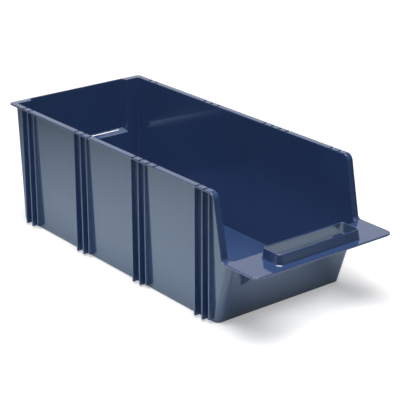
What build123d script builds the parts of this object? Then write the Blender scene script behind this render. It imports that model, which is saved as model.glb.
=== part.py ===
from build123d import *
import math
import os

# Open-front stacking storage bin, one plastic moulding, modelled as its separate walls, flanges and ribs.
# X is the width, Y the length with the pick opening towards -Y, Z up. Sizes are in mm.
# The origin is on the surface that the bin stands on, below the middle of its bounding box.

# Overall sizes
overall_length = 500.0
rim_width = 212.0
bin_height = 163.5

# Tub walls
wall_thickness = 2.2
floor_thickness = 2.2
wall_draft = 1.2
rear_corner_radius = 3.8
front_corner_radius = 8.0
foot_radius = 2.0
floor_edge_radius = 3.0

# Stacking rim: a flange that turns outwards along the sides and the rear corners
rim_thickness = 2.4
side_flange = 6.0
rear_flange = 8.0
rim_corner_radius = 6.0
flange_edge_radius = 0.8

# Cheeks: the slanted front edges of the side walls, with the rim carried down them
cheek_setback = 57.6
cheek_slant = 11.3
cheek_corner_radius = 9.0
cheek_foot_radius = 5.0

# Low front wall, leaning forwards up to the shelf
foot_setback = 76.8
front_lean = 18.0

# Shelf along the top of the front wall
shelf_height = 86.2
shelf_thickness = 2.4
shelf_corner_radius = 10.0

# Grip collar: a raised ring round the finger opening in the shelf
collar_length = 128.0
collar_depth = 34.0
collar_height = 12.3
collar_setback = 9.0
collar_wall = 2.0
collar_draft = 9.5
collar_corner_radius = 8.0
collar_edge_radius = 0.7

# Gussets under the shelf
gusset_inset = 33.0
gusset_thickness = 2.0
gusset_drop = 36.0
gusset_setback = 19.0

# Stacking ribs outside the side walls, in groups of three, and the notches above them
first_rib_setback = 32.0
last_rib_clearance = 7.3
rib_spacing = 13.8
third_rib_spacing = 8.3
rib_thickness = 2.0
rib_inset = 0.5
third_rib_inset = 3.6
rib_foot_gap = 2.0
third_rib_foot_gap = 3.5
rib_foot_radius = 1.5
rib_edge_radius = 0.6
notch_counts = (2, 3, 4, 2)
notch_offset = 2.4
notch_width = 3.0
notch_depth = 1.1

# Hanging recess in the upper part of the back wall, with a slot along its foot
recess_side_inset = 31.0
recess_step_angle = 17.0
recess_corner_radius = 1.5
recess_edge_radius = 1.0
recess_foot_rise = 1.8
recess_foot_slope = 29.0
panel_thickness = 2.4
slot_end_margin = 7.0
slot_gap = 3.1
slot_top_rise = 4.0
pip_inset = 18.0
pip_width = 5.0
pip_height = 3.5
pip_projection = 1.2

# Cutters reach this far past what they cut
cut_over = 10.0

# Planes and lines that the pieces share
rear_y = overall_length / 2
front_y = -overall_length / 2
rim_under = bin_height - rim_thickness
shelf_under = shelf_height - shelf_thickness
draft_rise = math.tan(math.radians(wall_draft))
lean_rise = math.tan(math.radians(front_lean))
cheek_rise = math.tan(math.radians(cheek_slant))
step_rise = math.tan(math.radians(recess_step_angle))
ledge_rise = math.tan(math.radians(recess_foot_slope))
drafted_wall = wall_thickness / math.cos(math.radians(wall_draft))
leaning_wall = wall_thickness / math.cos(math.radians(front_lean))
slanted_rim = rim_thickness / math.cos(math.radians(cheek_slant))
sloped_ledge = wall_thickness / math.cos(math.radians(recess_foot_slope))
recess_half = rim_width / 2 - recess_side_inset
recess_foot_height = shelf_height + recess_foot_rise
slot_half = recess_half - slot_end_margin
slot_top_height = recess_foot_height + slot_top_rise
group_count = len(notch_counts)
rib_steps = (0.0, rib_spacing, rib_spacing + third_rib_spacing)


def side_face(z):
    """Distance of a side wall's outer face from the middle plane at height z."""
    return rim_width / 2 - side_flange - (rim_under - z) * draft_rise


def rear_face(z):
    """Y of the back wall's outer face at height z."""
    return rear_y - rear_flange - (rim_under - z) * draft_rise


def front_face(z):
    """Y of the front wall's outer face at height z."""
    return front_y + foot_setback - z * lean_rise


def cheek_face(z):
    """Y of the front of the cheek flanges at height z."""
    return front_y + cheek_setback + (z - shelf_height) * cheek_rise


corner_split = side_face(0) - front_corner_radius - rear_corner_radius
first_rib_y = rear_y - first_rib_setback
last_group_y = front_face(0) + last_rib_clearance + rib_steps[-1]
group_pitch = (first_rib_y - last_group_y) / (group_count - 1)


def prism_along_x(points, half_width):
    """A solid with the given outline in Y and Z, reaching half_width to each side."""
    return widen(make_face(Polyline(*points, close=True)), half_width)


def widen(outline, half_width):
    """A solid from an outline in Y and Z, drawn with Y across and Z up."""
    return extrude(Plane.YZ * outline, amount=half_width, both=True)


def corners_at(face, y, z):
    """The corners of a side outline at a given place."""
    return [v for v in face.vertices() if abs(v.X - y) < 0.01 and abs(v.Y - z) < 0.01]


def prism_along_y(points, half_length):
    """A solid with the given outline in X and Z, reaching half_length to each end."""
    outline = make_face(Polyline(*points, close=True))
    return extrude(Plane.XZ * outline, amount=half_length, both=True)


def block(x_range, y_range, z_range):
    """A plain block between the given limits."""
    size = (x_range[1] - x_range[0], y_range[1] - y_range[0], z_range[1] - z_range[0])
    return Pos(x_range[0], y_range[0], z_range[0]) * Box(*size, align=(Align.MIN, Align.MIN, Align.MIN))


def rounded_plate(length_x, depth_y, corner_radius, centre_y):
    """A rounded rectangle in plan, centred on the middle plane."""
    return Pos(0, centre_y) * RectangleRounded(length_x, depth_y, corner_radius)


def rising_edges(solid, base, y_low, y_high):
    """The corner edges that rise from height base, between the given Y limits at their ends."""
    chosen = []
    for edge in solid.edges():
        low, high = edge.bounding_box().min, edge.bounding_box().max
        starts_at_base = abs(low.Z - base) < 0.01 and high.Z > base + 1
        if starts_at_base and low.Y > y_low and high.Y < y_high:
            chosen.append(edge)
    return chosen


def bottom_edges(solid, z):
    """The edges of a solid that lie at height z."""
    return [edge for edge in solid.edges() if abs(edge.bounding_box().max.Z - z) < 0.01]


def flange_face(rim_drop, shelf_drop):
    """Side view of all that lies below the flange's top, or that far below its top.

    The flange runs level along the rim, round the corner, down the cheek and out along the shelf.
    """
    top = bin_height - rim_drop
    shelf_top = shelf_height - shelf_drop
    back = rim_drop / math.cos(math.radians(cheek_slant))
    corner_y = cheek_face(top) + back
    foot_y = cheek_face(shelf_top) + back
    face = make_face(
        Polyline(
            (rear_y + cut_over, top),
            (corner_y, top),
            (foot_y, shelf_top),
            (front_y - cut_over, shelf_top),
            (front_y - cut_over, -cut_over),
            (rear_y + cut_over, -cut_over),
            close=True,
        )
    )
    face = fillet(corners_at(face, corner_y, top), cheek_corner_radius - rim_drop)
    return fillet(corners_at(face, foot_y, shelf_top), cheek_foot_radius + rim_drop)


def under_flange():
    """The space below the flange's underside."""
    return widen(flange_face(rim_thickness, shelf_thickness), rim_width)


def plan_face():
    """The bin's outline in plan, along the outer edge of the flange."""
    half = rim_width / 2
    face = make_face(Polyline((-half, front_y), (half, front_y), (half, rear_y), (-half, rear_y), close=True))
    face = fillet([v for v in face.vertices() if v.Y > 0], rim_corner_radius)
    return fillet([v for v in face.vertices() if v.Y == front_y], shelf_corner_radius)


def flange_sheet():
    """The flange as one bent sheet over the whole plan, with its outer edges rounded."""
    side_view = flange_face(0, 0) - flange_face(rim_thickness, shelf_thickness)
    sheet = widen(side_view, rim_width) & extrude(plan_face(), amount=bin_height)
    rounded = []
    for face in sheet.faces():
        if abs(face.normal_at().Z) < 0.01:
            rounded += [edge for edge in face.edges() if not is_upright(edge)]
    return fillet(rounded, flange_edge_radius)


def is_upright(edge):
    """Whether an edge runs straight up."""
    size = edge.bounding_box().size
    return size.X < 0.01 and size.Y < 0.01


def tub_outside():
    """The outer form of the tub, up to the underside of the flange."""
    profile = prism_along_x(
        [
            (rear_face(0), 0),
            (front_face(0), 0),
            (front_face(rim_under), rim_under),
            (rear_face(rim_under), rim_under),
        ],
        rim_width,
    )
    section = prism_along_y(
        [
            (-side_face(0), 0),
            (side_face(0), 0),
            (side_face(rim_under), rim_under),
            (-side_face(rim_under), rim_under),
        ],
        overall_length,
    )
    hull = profile & section
    hull = fillet(rising_edges(hull, 0, rear_face(0) - 1, rear_y), rear_corner_radius)
    hull = fillet(rising_edges(hull, 0, front_y, front_face(0) + 1), front_corner_radius)
    return fillet(bottom_edges(hull, 0), foot_radius) & under_flange()


def tub_inside():
    """The space inside the tub, open at the top and, above the shelf, at the front."""
    top = bin_height + cut_over
    profile = prism_along_x(
        [
            (rear_face(floor_thickness) - drafted_wall, floor_thickness),
            (front_face(floor_thickness) + leaning_wall, floor_thickness),
            (front_face(shelf_height) + leaning_wall, shelf_height),
            (front_y - cut_over, shelf_height),
            (front_y - cut_over, top),
            (rear_face(top) - drafted_wall, top),
        ],
        rim_width,
    )
    section = prism_along_y(
        [
            (-side_face(floor_thickness) + drafted_wall, floor_thickness),
            (side_face(floor_thickness) - drafted_wall, floor_thickness),
            (side_face(top) - drafted_wall, top),
            (-side_face(top) + drafted_wall, top),
        ],
        overall_length,
    )
    space = profile & section
    rear_limit = rear_face(0) - drafted_wall - 1
    front_limit = front_face(0) + leaning_wall + 1
    space = fillet(rising_edges(space, floor_thickness, rear_limit, rear_y), rear_corner_radius - wall_thickness)
    space = fillet(rising_edges(space, floor_thickness, front_y, front_limit), front_corner_radius - wall_thickness)
    return fillet(bottom_edges(space, floor_thickness), floor_edge_radius)


def recess_form(half_width_rear, y_rear, drop, corner_radius):
    """The outline of the hanging recess, from its sloping foot to above the rim."""
    y_inner = rear_y - rear_flange - wall_thickness - cut_over
    half_width_inner = half_width_rear + (y_rear - y_inner) * step_rise
    plan = make_face(
        Polyline(
            (-half_width_inner, y_inner),
            (half_width_inner, y_inner),
            (half_width_rear, y_rear),
            (-half_width_rear, y_rear),
            close=True,
        )
    )
    tall = extrude(plan, amount=bin_height + cut_over)
    rear_corners = [e for e in tall.edges().filter_by(Axis.Z) if abs(e.center().Y - y_rear) < 0.01]
    tall = fillet(rear_corners, corner_radius)
    lip_y = rear_face(recess_foot_height) - drafted_wall
    foot = recess_foot_height - drop
    above_foot = prism_along_x(
        [
            (y_inner - cut_over, foot + (y_inner - cut_over - lip_y) * ledge_rise),
            (y_rear + cut_over, foot + (y_rear + cut_over - lip_y) * ledge_rise),
            (y_rear + cut_over, bin_height + 2 * cut_over),
            (y_inner - cut_over, bin_height + 2 * cut_over),
        ],
        rim_width,
    )
    return tall & above_foot


def recess_space():
    """The hollow of the hanging recess, as seen from inside the bin."""
    return recess_form(recess_half, rear_y - panel_thickness, 0, recess_corner_radius)


def recess_outside():
    """The outside of the hanging recess, where it stands out behind the back wall."""
    step_wall = wall_thickness / math.cos(math.radians(recess_step_angle))
    half_width = recess_half + step_wall - panel_thickness * step_rise
    return recess_form(half_width, rear_y, sloped_ledge, recess_corner_radius + wall_thickness)


def back_panel(inside):
    """The wall of the hanging recess: panel, side steps and slotted sloping foot."""
    above_rim = block((-rim_width, rim_width), (front_y, rear_y + cut_over), (bin_height, bin_height * 2))
    shell = recess_outside() - recess_space() - inside - above_rim
    lips = [edge for edge in shell.edges() if is_step_lip(edge, inside)]
    shell = fillet(lips, recess_edge_radius)
    slot = block(
        (-slot_half, slot_half),
        (rear_y - panel_thickness - slot_gap, rear_y + cut_over),
        (recess_foot_height - cut_over, slot_top_height),
    )
    shell = shell - slot
    for side in (-1, 1):
        pip = block(
            (-pip_width / 2, pip_width / 2),
            (rear_y - panel_thickness - pip_projection, rear_y - panel_thickness / 2),
            (slot_top_height, slot_top_height + pip_height),
        )
        shell = shell + Pos(side * (slot_half - pip_inset), 0, 0) * pip
    return shell


def is_step_lip(edge, inside):
    """Whether an edge is a rising one between a step of the recess and the back wall's inner face."""
    size = edge.bounding_box().size
    middle = edge @ 0.5
    rises = size.Z > bin_height - slot_top_height - cut_over
    inner_half = recess_half + (rear_y - panel_thickness - middle.Y) * step_rise
    return rises and abs(abs(middle.X) - inner_half) < 0.1 and touches(middle, inside)


def touches(point, solid):
    """Whether a point lies on a solid."""
    return Vertex(point.X, point.Y, point.Z).distance_to(solid) < 0.001


def notch_cuts():
    """The shallow notches across the rim, above each group of ribs."""
    cuts = []
    for group, count in enumerate(notch_counts):
        for place in range(count):
            y = first_rib_y - notch_offset - group * group_pitch - place * rib_spacing
            cuts.append(
                block(
                    (-rim_width, rim_width),
                    (y - notch_width / 2, y + notch_width / 2),
                    (bin_height - notch_depth, bin_height + cut_over),
                )
            )
    return cuts


def side_rim(side, sheet, inside):
    """The rim of one side: rail, rear corner and cheek flange. side is -1 for left and 1 for right."""
    half = block((0, rim_width), (front_y, rear_y), (shelf_height, bin_height))
    piece = (sheet & half) - inside - recess_outside()
    top_line = flange_face(0, 0).face().outer_wire()
    inner = []
    for edge in piece.edges():
        middle = edge @ 0.5
        on_top = Vertex(middle.Y, middle.Z, 0).distance_to(top_line) < 0.001
        if on_top and middle.X > corner_split / 2 and touches(middle, inside) and middle.Z > shelf_height + 0.01:
            inner.append(edge)
    piece = fillet(inner, flange_edge_radius)
    for cut in notch_cuts():
        piece = piece - cut
    return piece if side > 0 else mirror(piece, about=Plane.YZ)


def shelf_plate(sheet, inside, opening):
    """The level shelf along the top of the front wall, with wings under the cheek flanges."""
    low = block((-rim_width, rim_width), (front_y, 0), (shelf_under, shelf_height))
    return (sheet & low) - inside - opening


def collar_centre():
    """Y of the middle of the grip collar."""
    return front_y + collar_setback + collar_depth / 2


def finger_opening():
    """The opening through the shelf and the collar, which narrows upwards with the collar."""
    hole = rounded_plate(
        collar_length - 2 * collar_wall,
        collar_depth - 2 * collar_wall,
        collar_corner_radius - collar_wall,
        collar_centre(),
    )
    below = Pos(0, 0, shelf_height) * extrude(hole, amount=-shelf_thickness - cut_over)
    above = Pos(0, 0, shelf_height) * extrude(hole, amount=collar_height + collar_wall, taper=collar_draft)
    return above + below


def grip_collar(opening):
    """The raised ring round the finger opening, narrowing upwards."""
    foot = rounded_plate(collar_length, collar_depth, collar_corner_radius, collar_centre())
    ring = Pos(0, 0, shelf_height) * extrude(foot, amount=collar_height, taper=collar_draft)
    ring = ring - opening
    top = ring.faces().sort_by(Axis.Z)[-1]
    return fillet(top.edges(), collar_edge_radius)


def shelf_gusset(side):
    """The triangular plate that carries the shelf from the front wall."""
    low = shelf_under - gusset_drop
    x = side * (rim_width / 2 - gusset_inset)
    plate = make_face(
        Polyline(
            (front_face(low), low),
            (front_face(shelf_under), shelf_under),
            (front_y + gusset_setback, shelf_under),
            close=True,
        )
    )
    return Pos(x, 0, 0) * widen(plate, gusset_thickness / 2)


def stacking_rib(side, index, outside):
    """One upright rib outside a side wall, counted from the rear, from near the foot up to the rim."""
    group, place = divmod(index, len(rib_steps))
    y = first_rib_y - group * group_pitch - rib_steps[place]
    is_third = place == len(rib_steps) - 1
    foot = third_rib_foot_gap if is_third else rib_foot_gap
    outer_x = rim_width / 2 - (third_rib_inset if is_third else rib_inset)
    rib = block((corner_split, outer_x), (y, y + rib_thickness), (foot, bin_height))
    low_corner = rib.edges().filter_by(Axis.Y).group_by(Axis.Z)[0].sort_by(Axis.X)[-1]
    rib = fillet(low_corner, rib_foot_radius)
    outer_edges = [e for e in rib.edges().filter_by(Axis.Z) if abs(e.center().X - outer_x) < 0.01]
    rib = fillet(outer_edges, rib_edge_radius) & under_flange()
    rib = rib - outside
    return rib if side > 0 else mirror(rib, about=Plane.YZ)


def build_nodes():
    """Every piece of the bin under its own name."""
    outside = tub_outside()
    inside = tub_inside()
    shell = outside - inside
    sheet = flange_sheet()
    opening = finger_opening()
    upper = (floor_thickness, bin_height)
    whole_y = (front_y, rear_y)
    middle_x = (-corner_split, corner_split)
    back = shell & block(middle_x, (0, rear_y), upper)
    nodes = {
        "floor_pan": shell & block((-rim_width, rim_width), whole_y, (0, floor_thickness)),
        "left_side_wall": shell & block((-rim_width, -corner_split), whole_y, upper),
        "right_side_wall": shell & block((corner_split, rim_width), whole_y, upper),
        "back_wall": back - recess_outside(),
        "back_panel": back_panel(inside),
        "front_wall": shell & block(middle_x, (front_y, 0), upper),
        "left_rim": side_rim(-1, sheet, inside),
        "right_rim": side_rim(1, sheet, inside),
        "front_shelf": shelf_plate(sheet, inside, opening),
        "grip_collar": grip_collar(opening),
        "left_gusset": shelf_gusset(-1),
        "right_gusset": shelf_gusset(1),
    }
    for index in range(group_count * len(rib_steps)):
        nodes[f"left_rib_{index + 1}"] = stacking_rib(-1, index, outside)
        nodes[f"right_rib_{index + 1}"] = stacking_rib(1, index, outside)
    return nodes


os.makedirs("parts", exist_ok=True)
for name, shape in build_nodes().items():
    export_step(shape, f"parts/{name}.step")
    box = shape.bounding_box()
    print(f"{name}: {len(shape.solids())} solid, {shape.volume:.0f} mm3, {box.min} to {box.max}")
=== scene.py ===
"""Looks of the open-front stacking storage bin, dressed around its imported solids. Lengths are in metres."""

import logging
import math
from dataclasses import dataclass, field
from enum import Enum
from typing import Any, Iterable, Mapping, Sequence

import bpy
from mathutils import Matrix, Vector


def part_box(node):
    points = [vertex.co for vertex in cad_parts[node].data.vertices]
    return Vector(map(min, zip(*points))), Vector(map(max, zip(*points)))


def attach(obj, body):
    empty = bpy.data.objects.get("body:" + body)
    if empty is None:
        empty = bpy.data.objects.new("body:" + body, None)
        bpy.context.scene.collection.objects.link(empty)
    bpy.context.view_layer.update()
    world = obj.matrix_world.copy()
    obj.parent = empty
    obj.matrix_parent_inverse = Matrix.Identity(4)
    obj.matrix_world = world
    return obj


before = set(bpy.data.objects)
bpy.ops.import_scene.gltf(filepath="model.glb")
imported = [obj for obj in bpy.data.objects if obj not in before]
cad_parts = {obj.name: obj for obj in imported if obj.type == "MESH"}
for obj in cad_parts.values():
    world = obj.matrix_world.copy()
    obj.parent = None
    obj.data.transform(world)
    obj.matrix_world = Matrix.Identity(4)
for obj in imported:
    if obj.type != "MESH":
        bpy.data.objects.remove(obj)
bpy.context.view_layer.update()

BODY = "root"
RIB_COUNT = 12
NOISE_MIDDLE = 0.5

log = logging.getLogger("storage_bin")


class Side(Enum):
    """The two long sides of the bin, seen from its open front."""

    LEFT = "left"
    RIGHT = "right"


class Wear(Enum):
    """How much a part of the moulding has been handled, as a share of the full scuffing."""

    HARDLY = 0.35
    SOME = 0.7
    MOST = 1.0


@dataclass(frozen=True)
class Lumps:
    """One pattern of soft random lumps."""

    per_metre: float
    detail: float
    roughness: float


@dataclass(frozen=True)
class Ramp:
    """The two values between which a smooth step rises from 0 to 1."""

    low: float
    high: float


class Signal:
    """A value inside a material, on which Python's operators add Math nodes."""

    def __init__(self, sheet: "NodeSheet", socket: Any) -> None:
        """Wraps one output socket of a sheet.

        Args:
            sheet: The sheet that new nodes are added to.
            socket: The output socket that carries the value.
        """
        self.sheet = sheet
        self.socket = socket

    def _math(self, operation: str, first: Any, second: Any) -> "Signal":
        """Adds one Math node.

        Args:
            operation: The Math node's operation.
            first: The first value or signal.
            second: The second value or signal.

        Returns:
            The node's result.
        """
        return self.sheet.add("ShaderNodeMath", {"operation": operation}, {0: first, 1: second})

    def __add__(self, other: Any) -> "Signal":
        """This value plus another."""
        return self._math("ADD", self, other)

    def __radd__(self, other: Any) -> "Signal":
        """Another value plus this one."""
        return self._math("ADD", other, self)

    def __sub__(self, other: Any) -> "Signal":
        """This value less another."""
        return self._math("SUBTRACT", self, other)

    def __rsub__(self, other: Any) -> "Signal":
        """Another value less this one."""
        return self._math("SUBTRACT", other, self)

    def __mul__(self, other: Any) -> "Signal":
        """This value times another."""
        return self._math("MULTIPLY", self, other)

    def __rmul__(self, other: Any) -> "Signal":
        """Another value times this one."""
        return self._math("MULTIPLY", other, self)

    def at_least(self, low: Any) -> "Signal":
        """The larger of this value and another."""
        return self._math("MAXIMUM", self, low)

    def ramped(self, ramp: Ramp) -> "Signal":
        """Rises smoothly from 0 to 1.

        Args:
            ramp: The value below which the result is 0, and the one above which it is 1.

        Returns:
            The smooth step.
        """
        return self.sheet.add(
            "ShaderNodeMapRange",
            {"interpolation_type": "SMOOTHSTEP"},
            {"Value": self, "From Min": ramp.low, "From Max": ramp.high},
        )


class NodeSheet:
    """The node tree of one material."""

    def __init__(self, name: str) -> None:
        """Makes an empty material.

        Args:
            name: The material's name.
        """
        self.material = bpy.data.materials.new(name)
        self.material.use_nodes = True
        self.tree = self.material.node_tree
        self.tree.nodes.clear()

    @classmethod
    def of_tree(cls, tree: bpy.types.NodeTree) -> "NodeSheet":
        """A sheet on a tree that exists, such as the world's.

        Args:
            tree: The tree, which is emptied.

        Returns:
            The sheet.
        """
        sheet = cls.__new__(cls)
        sheet.material = None
        sheet.tree = tree
        tree.nodes.clear()
        return sheet

    def add(
        self,
        kind: str,
        settings: Mapping[str, Any] | None = None,
        sockets: Mapping[Any, Any] | None = None,
        output: Any = 0,
    ) -> Signal:
        """Adds a node, with its settings first and then its sockets.

        Args:
            kind: The node's type.
            settings: Values of the node's own properties.
            sockets: Values or signals for its inputs, by name or place.
            output: The output that is wanted, by name or place.

        Returns:
            That output.
        """
        node = self.tree.nodes.new(kind)
        for name, value in (settings or {}).items():
            setattr(node, name, value)
        for key, value in (sockets or {}).items():
            if isinstance(value, Signal):
                self.tree.links.new(value.socket, node.inputs[key])
            else:
                node.inputs[key].default_value = value
        return Signal(self, node.outputs[output])

    def place(self, stretch: Sequence[float] = (1.0, 1.0, 1.0)) -> Signal:
        """The object's own coordinates, each times a factor.

        Args:
            stretch: The factors along X, Y and Z.

        Returns:
            The stretched coordinates.
        """
        here = self.add("ShaderNodeTexCoord", output="Object")
        return self.add("ShaderNodeVectorMath", {"operation": "MULTIPLY"}, {0: here, 1: tuple(stretch)})

    def noise(self, place: Signal, lumps: Lumps) -> Signal:
        """Soft random variation around one half.

        Args:
            place: The coordinates.
            lumps: The pattern's size and detail.

        Returns:
            The variation.
        """
        return self.add(
            "ShaderNodeTexNoise",
            sockets={
                "Vector": place,
                "Scale": lumps.per_metre,
                "Detail": lumps.detail,
                "Roughness": lumps.roughness,
            },
        )

    def blend_colours(self, share: Any, first: Any, second: Any) -> Signal:
        """Blends two colours.

        Args:
            share: How much of the second colour, from 0 to 1.
            first: The colour at 0.
            second: The colour at 1.

        Returns:
            The blended colour.
        """
        node = self.tree.nodes.new("ShaderNodeMix")
        node.data_type = "RGBA"
        colours = [socket for socket in node.inputs if socket.type == "RGBA"]
        for socket, value in ((node.inputs[0], share), (colours[0], first), (colours[1], second)):
            if isinstance(value, Signal):
                self.tree.links.new(value.socket, socket)
            else:
                socket.default_value = value
        result = next(socket for socket in node.outputs if socket.type == "RGBA")
        return Signal(self, result)

    def surface(self, shader: Signal) -> bpy.types.Material:
        """Ends the sheet with its output node.

        Args:
            shader: The finished shader.

        Returns:
            The finished material.
        """
        self.add_output({"Surface": shader})
        return self.material

    def add_output(self, sockets: Mapping[str, Signal]) -> None:
        """Links the material's output node.

        Args:
            sockets: What goes into it, by the name of its input.
        """
        node = self.tree.nodes.new("ShaderNodeOutputMaterial")
        for key, value in sockets.items():
            self.tree.links.new(value.socket, node.inputs[key])


@dataclass(frozen=True)
class NavyPlastic:
    """Glossy injection-moulded plastic, dyed navy through and through."""

    colour: tuple[float, float, float, float] = (0.033, 0.066, 0.172, 1.0)
    cloudy_colour: tuple[float, float, float, float] = (0.037, 0.072, 0.184, 1.0)
    scuff_colour: tuple[float, float, float, float] = (0.065, 0.098, 0.200, 1.0)
    gloss_roughness: float = 0.22
    scuff_share: float = 0.2
    scuff_roughness: float = 0.1
    refraction: float = 1.55
    coat: float = 1.0
    coat_roughness: float = 0.07
    coat_refraction: float = 1.6
    ripple_height: float = 0.00012
    grain_height: float = 0.000004
    cloud_roughness: float = 0.05
    draw_stretch: tuple[float, float, float] = (1.0, 0.35, 4.0)
    clouds: Lumps = Lumps(9.0, 3.0, 0.55)
    draw_marks: Lumps = Lumps(90.0, 4.0, 0.65)
    patches: Lumps = Lumps(26.0, 3.0, 0.6)
    ripples: Lumps = Lumps(11.0, 1.0, 0.4)
    grains: Lumps = Lumps(1500.0, 2.0, 0.6)
    cloud_ramp: Ramp = Ramp(0.3, 0.7)
    mark_ramp: Ramp = Ramp(0.58, 0.8)
    patch_ramp: Ramp = Ramp(0.45, 0.7)
    wear: Wear = Wear.SOME

    def make(self, name: str) -> bpy.types.Material:
        """Builds the material.

        Args:
            name: The material's name.

        Returns:
            The material.
        """
        sheet = NodeSheet(name)
        here = sheet.place()
        clouds = sheet.noise(here, self.clouds)
        marks = sheet.noise(sheet.place(self.draw_stretch), self.draw_marks)
        patches = sheet.noise(here, self.patches)
        scuffs = marks.ramped(self.mark_ramp) * patches.ramped(self.patch_ramp) * self.wear.value
        body = sheet.blend_colours(clouds.ramped(self.cloud_ramp), self.colour, self.cloudy_colour)
        body = sheet.blend_colours(scuffs * self.scuff_share, body, self.scuff_colour)
        roughness = self.gloss_roughness + scuffs * self.scuff_roughness
        roughness = roughness + (clouds - NOISE_MIDDLE) * self.cloud_roughness
        ripple = sheet.noise(here, self.ripples) * self.ripple_height
        grain = sheet.noise(here, self.grains) * self.grain_height
        normal = sheet.add(
            "ShaderNodeBump",
            sockets={"Strength": 1.0, "Distance": 1.0, "Height": ripple + grain},
        )
        shader = sheet.add(
            "ShaderNodeBsdfPrincipled",
            sockets={
                "Base Color": body,
                "Roughness": roughness,
                "IOR": self.refraction,
                "Coat Weight": self.coat,
                "Coat Roughness": self.coat_roughness,
                "Coat IOR": self.coat_refraction,
                "Normal": normal,
            },
        )
        return sheet.surface(shader)


def dress(names: Iterable[str], finish: bpy.types.Material) -> None:
    """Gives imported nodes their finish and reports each.

    Args:
        names: The nodes.
        finish: The material for all of them.
    """
    for name in names:
        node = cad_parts[name]
        node.data.materials.clear()
        node.data.materials.append(finish)
        for face in node.data.polygons:
            face.material_index = 0
        log.info("dressed %s with %s", name, finish.name)


@dataclass
class Tub:
    """The floor and the walls of the bin."""

    walls: NavyPlastic = field(default_factory=lambda: NavyPlastic(wear=Wear.SOME))
    floor: NavyPlastic = field(default_factory=lambda: NavyPlastic(wear=Wear.MOST, gloss_roughness=0.26))

    def build(self) -> None:
        """Dresses the walls and the floor."""
        walls = self.walls.make("moulded_walls")
        dress(("left_side_wall", "right_side_wall", "back_wall", "front_wall"), walls)
        dress(("floor_pan",), self.floor.make("moulded_floor"))


@dataclass
class HangingBack:
    """The recessed panel at the back, with its slot for hanging the bin on a rail."""

    finish: NavyPlastic = field(default_factory=lambda: NavyPlastic(wear=Wear.HARDLY))

    def build(self) -> None:
        """Dresses the recessed panel."""
        dress(("back_panel",), self.finish.make("moulded_recess"))


@dataclass
class StackingRim:
    """The flanges along both sides, which carry the bin above."""

    finish: NavyPlastic = field(default_factory=lambda: NavyPlastic(wear=Wear.MOST, gloss_roughness=0.26))

    def build(self) -> None:
        """Dresses both flanges."""
        dress([f"{side.value}_rim" for side in Side], self.finish.make("moulded_rim"))


@dataclass
class PickFront:
    """The shelf over the front wall, with the grip collar and the two gussets."""

    finish: NavyPlastic = field(default_factory=lambda: NavyPlastic(wear=Wear.SOME))
    root_radius: float = 0.0014
    root_steps: int = 5
    collar_corner: float = 0.008
    collar_lean: float = math.radians(9.5)
    corner_steps: int = 12
    root_sink: float = 0.0021
    smooth_angle: float = math.radians(50.0)

    def build(self) -> None:
        """Dresses the shelf, the collar and the gussets, and adds the soft root of the collar."""
        names = ["front_shelf", "grip_collar"]
        names += [f"{side.value}_gusset" for side in Side]
        finish = self.finish.make("moulded_front")
        dress(names, finish)
        root = self.build_collar_root()
        root.data.materials.append(finish)
        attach(root, BODY)
        log.info("built %s", root.name)

    def build_collar_root(self) -> bpy.types.Object:
        """Models the hollow round where the collar grows out of the shelf.

        Returns:
            The root, a closed ring round the collar's foot.
        """
        low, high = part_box("grip_collar")
        spread = 2.0 * self.root_radius
        bpy.ops.object.select_all(action="DESELECT")
        bpy.ops.mesh.primitive_plane_add(
            size=1.0,
            location=((low.x + high.x) / 2.0, (low.y + high.y) / 2.0, low.z),
        )
        root = bpy.context.active_object
        root.name = "collar_root"
        root.scale = (high.x - low.x + spread, high.y - low.y + spread, 1.0)
        bpy.ops.object.transform_apply(location=True, rotation=False, scale=True)
        bpy.ops.object.mode_set(mode="EDIT")
        bpy.ops.mesh.select_all(action="SELECT")
        bpy.ops.mesh.bevel(
            offset=self.collar_corner + self.root_radius,
            segments=self.corner_steps,
            affect="VERTICES",
        )
        self.raise_root()
        bpy.ops.object.mode_set(mode="OBJECT")
        bpy.ops.object.shade_smooth_by_angle(angle=self.smooth_angle)
        return root

    def raise_root(self) -> None:
        """Steps the footprint in and up to a hollow round, and closes its side that the collar hides."""
        bpy.ops.mesh.select_all(action="SELECT")
        out, up = self.root_radius, 0.0
        for step in range(1, self.root_steps + 1):
            turn = math.radians(90.0) * step / self.root_steps
            rise = self.root_radius * (1.0 - math.cos(turn))
            reach = self.root_radius * (1.0 - math.sin(turn)) - rise * math.tan(self.collar_lean)
            bpy.ops.mesh.inset(thickness=out - reach, depth=rise - up)
            out, up = reach, rise
        bpy.ops.mesh.inset(thickness=out + self.root_radius, depth=0.0)
        bpy.ops.mesh.extrude_region_move(TRANSFORM_OT_translate={"value": (0.0, 0.0, -self.root_sink)})
        bpy.ops.mesh.delete(type="ONLY_FACE")
        bpy.ops.mesh.select_all(action="DESELECT")
        bpy.ops.mesh.select_non_manifold()
        bpy.ops.mesh.bridge_edge_loops()
        bpy.ops.mesh.select_all(action="SELECT")
        bpy.ops.mesh.normals_make_consistent(inside=False)


@dataclass
class RibRows:
    """The upright stacking ribs outside both side walls."""

    count: int = RIB_COUNT
    finish: NavyPlastic = field(default_factory=lambda: NavyPlastic(wear=Wear.HARDLY))

    def build(self) -> None:
        """Dresses every rib of both rows."""
        names = [f"{side.value}_rib_{place + 1}" for side in Side for place in range(self.count)]
        dress(names, self.finish.make("moulded_ribs"))


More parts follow.
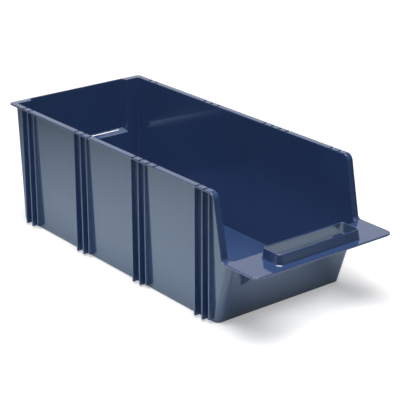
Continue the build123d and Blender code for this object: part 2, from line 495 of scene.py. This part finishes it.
@dataclass
class Studio:
    """A pale floor under one soft lamp, in a room that is pale behind the bin. In reflections and bounced
    light the floor carries a painted pool of light round the bin, a painted glow that shows only in
    reflections, and painted shade further away.
    """

    floor_size: float = 14.0
    floor_colour: tuple[float, float, float, float] = (0.78, 0.78, 0.78, 1.0)
    floor_fleck_colour: tuple[float, float, float, float] = (0.77, 0.77, 0.77, 1.0)
    # Painted light: the floor colour round the bin for reflections and bounced light, a painted pool of
    # light.
    painted_pool_floor_colour: tuple[float, float, float, float] = (0.60, 0.71, 0.76, 1.0)
    # Painted reflection: the colour of a glow that the floor shows only in reflections, in the pool round the
    # bin.
    painted_reflection_glow_colour: tuple[float, float, float, float] = (0.84, 0.96, 1.0, 1.0)
    # Painted shade: the floor colour far off for reflections and bounced light.
    painted_far_shade_colour: tuple[float, float, float, float] = (0.05, 0.055, 0.06, 1.0)
    paper: Lumps = Lumps(40.0, 2.0, 0.5)
    # Where the painted pool of light lies and how it fades out to painted shade.
    pool_squeeze: float = 0.75
    pool_centre: tuple[float, float, float] = (-0.15, -0.1, 0.0)
    pool_edge: Ramp = Ramp(0.12, 0.85)
    far_edge: Ramp = Ramp(0.85, 2.6)
    floor_glow: float = 0.36
    # Strength of that painted glow in reflections.
    painted_reflection_glow: float = 0.14
    sky: float = 0.08
    room_ahead: float = 0.06
    room_behind: float = 0.6
    backdrop_side: Ramp = Ramp(-0.5, 0.5)
    backdrop_top: Ramp = Ramp(0.4, 0.56)
    top_power: float = 88.0
    top_size: float = 1.8
    top_place: tuple[float, float, float] = (-0.3, -0.2, 2.45)
    top_aim: tuple[float, float, float] = (0.0, 0.0, 0.05)
    floor_cells: int = 8

    def floor_material(self) -> bpy.types.Material:
        """The floor: matt and pale, and white where no shadow falls, as the camera sees it. For other rays
        its colour is a painted pool of light round the bin that fades to painted shade far off, and near the
        bin it also glows in reflections only, as a painted reflection.

        Returns:
            The floor's material.
        """
        sheet = NodeSheet("studio_floor")
        ray = sheet.tree.nodes.new("ShaderNodeLightPath")
        seen = Signal(sheet, ray.outputs["Is Camera Ray"])
        mirrored = Signal(sheet, ray.outputs["Is Glossy Ray"])
        here = sheet.place((1.0, self.pool_squeeze, 1.0))
        away = sheet.add("ShaderNodeVectorMath", {"operation": "SUBTRACT"}, {0: here, 1: self.pool_centre})
        reach = sheet.add("ShaderNodeVectorMath", {"operation": "LENGTH"}, {0: away}, "Value")
        # Painted shade share: 0 in the painted pool of light round the bin, rising to 1 far off.
        painted_shade_share = reach.ramped(self.pool_edge)
        far = reach.ramped(self.far_edge)
        paper = sheet.noise(here, self.paper)
        pale = sheet.blend_colours(paper, self.floor_colour, self.floor_fleck_colour)
        # Painted pool of light fading to painted shade; only reflections and bounced light see it.
        lit = sheet.blend_colours(painted_shade_share, self.painted_pool_floor_colour, self.painted_far_shade_colour)
        matt = sheet.add(
            "ShaderNodeBsdfDiffuse",
            sockets={"Color": sheet.blend_colours(seen, lit, pale), "Roughness": 0.0},
        )
        # The camera sees the floor as even white; reflections also see the painted glow in the pool round the
        # bin.
        glow = sheet.add(
            "ShaderNodeEmission",
            sockets={
                "Color": sheet.blend_colours(seen, self.painted_reflection_glow_colour, (1.0, 1.0, 1.0, 1.0)),
                "Strength": seen * (self.floor_glow + far) + mirrored * (1.0 - painted_shade_share) * self.painted_reflection_glow,
            },
        )
        both = sheet.add("ShaderNodeAddShader", sockets={0: matt, 1: glow})
        return sheet.surface(both)

    def build_floor(self) -> None:
        """Lays the floor."""
        bpy.ops.object.select_all(action="DESELECT")
        bpy.ops.mesh.primitive_grid_add(
            x_subdivisions=self.floor_cells,
            y_subdivisions=self.floor_cells,
            size=self.floor_size,
        )
        floor = bpy.context.active_object
        floor.name = "studio_floor"
        floor.data.materials.append(self.floor_material())

    def build_sky(self) -> None:
        """Fills the room with even light, white behind the bin and in its reflections."""
        world = bpy.data.worlds.new("studio_sky")
        bpy.context.scene.world = world
        world.use_nodes = True
        sheet = NodeSheet.of_tree(world.node_tree)
        ray = sheet.tree.nodes.new("ShaderNodeLightPath")
        seen = Signal(sheet, ray.outputs["Is Camera Ray"])
        mirrored = Signal(sheet, ray.outputs["Is Glossy Ray"])
        direction = sheet.add("ShaderNodeTexCoord", output="Generated")
        along = sheet.add("ShaderNodeSeparateXYZ", sockets={0: direction}, output="Y")
        height = sheet.add("ShaderNodeSeparateXYZ", sockets={0: direction}, output="Z")
        backdrop = along.ramped(self.backdrop_side) * (1.0 - height.ramped(self.backdrop_top))
        room = self.room_ahead + backdrop * (self.room_behind - self.room_ahead)
        level = seen + mirrored * room + (1.0 - seen.at_least(mirrored)) * self.sky
        background = sheet.add(
            "ShaderNodeBackground",
            sockets={"Color": (1.0, 1.0, 1.0, 1.0), "Strength": level},
        )
        end = sheet.tree.nodes.new("ShaderNodeOutputWorld")
        sheet.tree.links.new(background.socket, end.inputs["Surface"])

    def build_lamp(
        self,
        name: str,
        place: Sequence[float],
        aim: Sequence[float],
        size: float,
        power: float,
    ) -> None:
        """Hangs one soft square lamp.

        Args:
            name: The lamp's name.
            place: Where it hangs.
            aim: The point that it faces.
            size: The length of its sides.
            power: Its power in watts.
        """
        data = bpy.data.lights.new(name, "AREA")
        data.shape = "SQUARE"
        data.size = size
        data.energy = power
        lamp = bpy.data.objects.new(name, data)
        bpy.context.scene.collection.objects.link(lamp)
        lamp.location = place
        lamp.rotation_euler = (Vector(aim) - Vector(place)).to_track_quat("-Z", "Y").to_euler()

    def build(self) -> None:
        """Sets up floor, sky and lamp."""
        self.build_floor()
        self.build_sky()
        self.build_lamp("top_lamp", self.top_place, self.top_aim, self.top_size, self.top_power)
        log.info("studio ready")


@dataclass(frozen=True)
class Viewpoint:
    """The camera at the photograph's place. The picture is square."""

    place: tuple[float, float, float] = (-1.0141, -1.2950, 0.7158)
    heading: float = 38.52
    dip: float = 21.24
    sensor: float = 36.0
    lens: float = 126.88
    nearest: float = 0.05

    def build(self) -> None:
        """Sets up the camera."""
        data = bpy.data.cameras.new("photo_camera")
        data.sensor_width = self.sensor
        data.lens = self.lens
        data.clip_start = self.nearest
        camera = bpy.data.objects.new("photo_camera", data)
        bpy.context.scene.collection.objects.link(camera)
        camera.location = self.place
        camera.rotation_euler = (math.radians(90.0 - self.dip), 0.0, math.radians(-self.heading))
        bpy.context.scene.camera = camera
        log.info("camera ready")


def main() -> None:
    """Builds every part of the picture in order."""
    logging.basicConfig(level=logging.INFO, format="%(name)s: %(message)s")
    bpy.context.scene.view_settings.view_transform = "Standard"
    Viewpoint().build()
    Studio().build()
    for assembly in (Tub(), HangingBack(), StackingRim(), PickFront(), RibRows()):
        assembly.build()


if __name__ == "__main__":
    main()
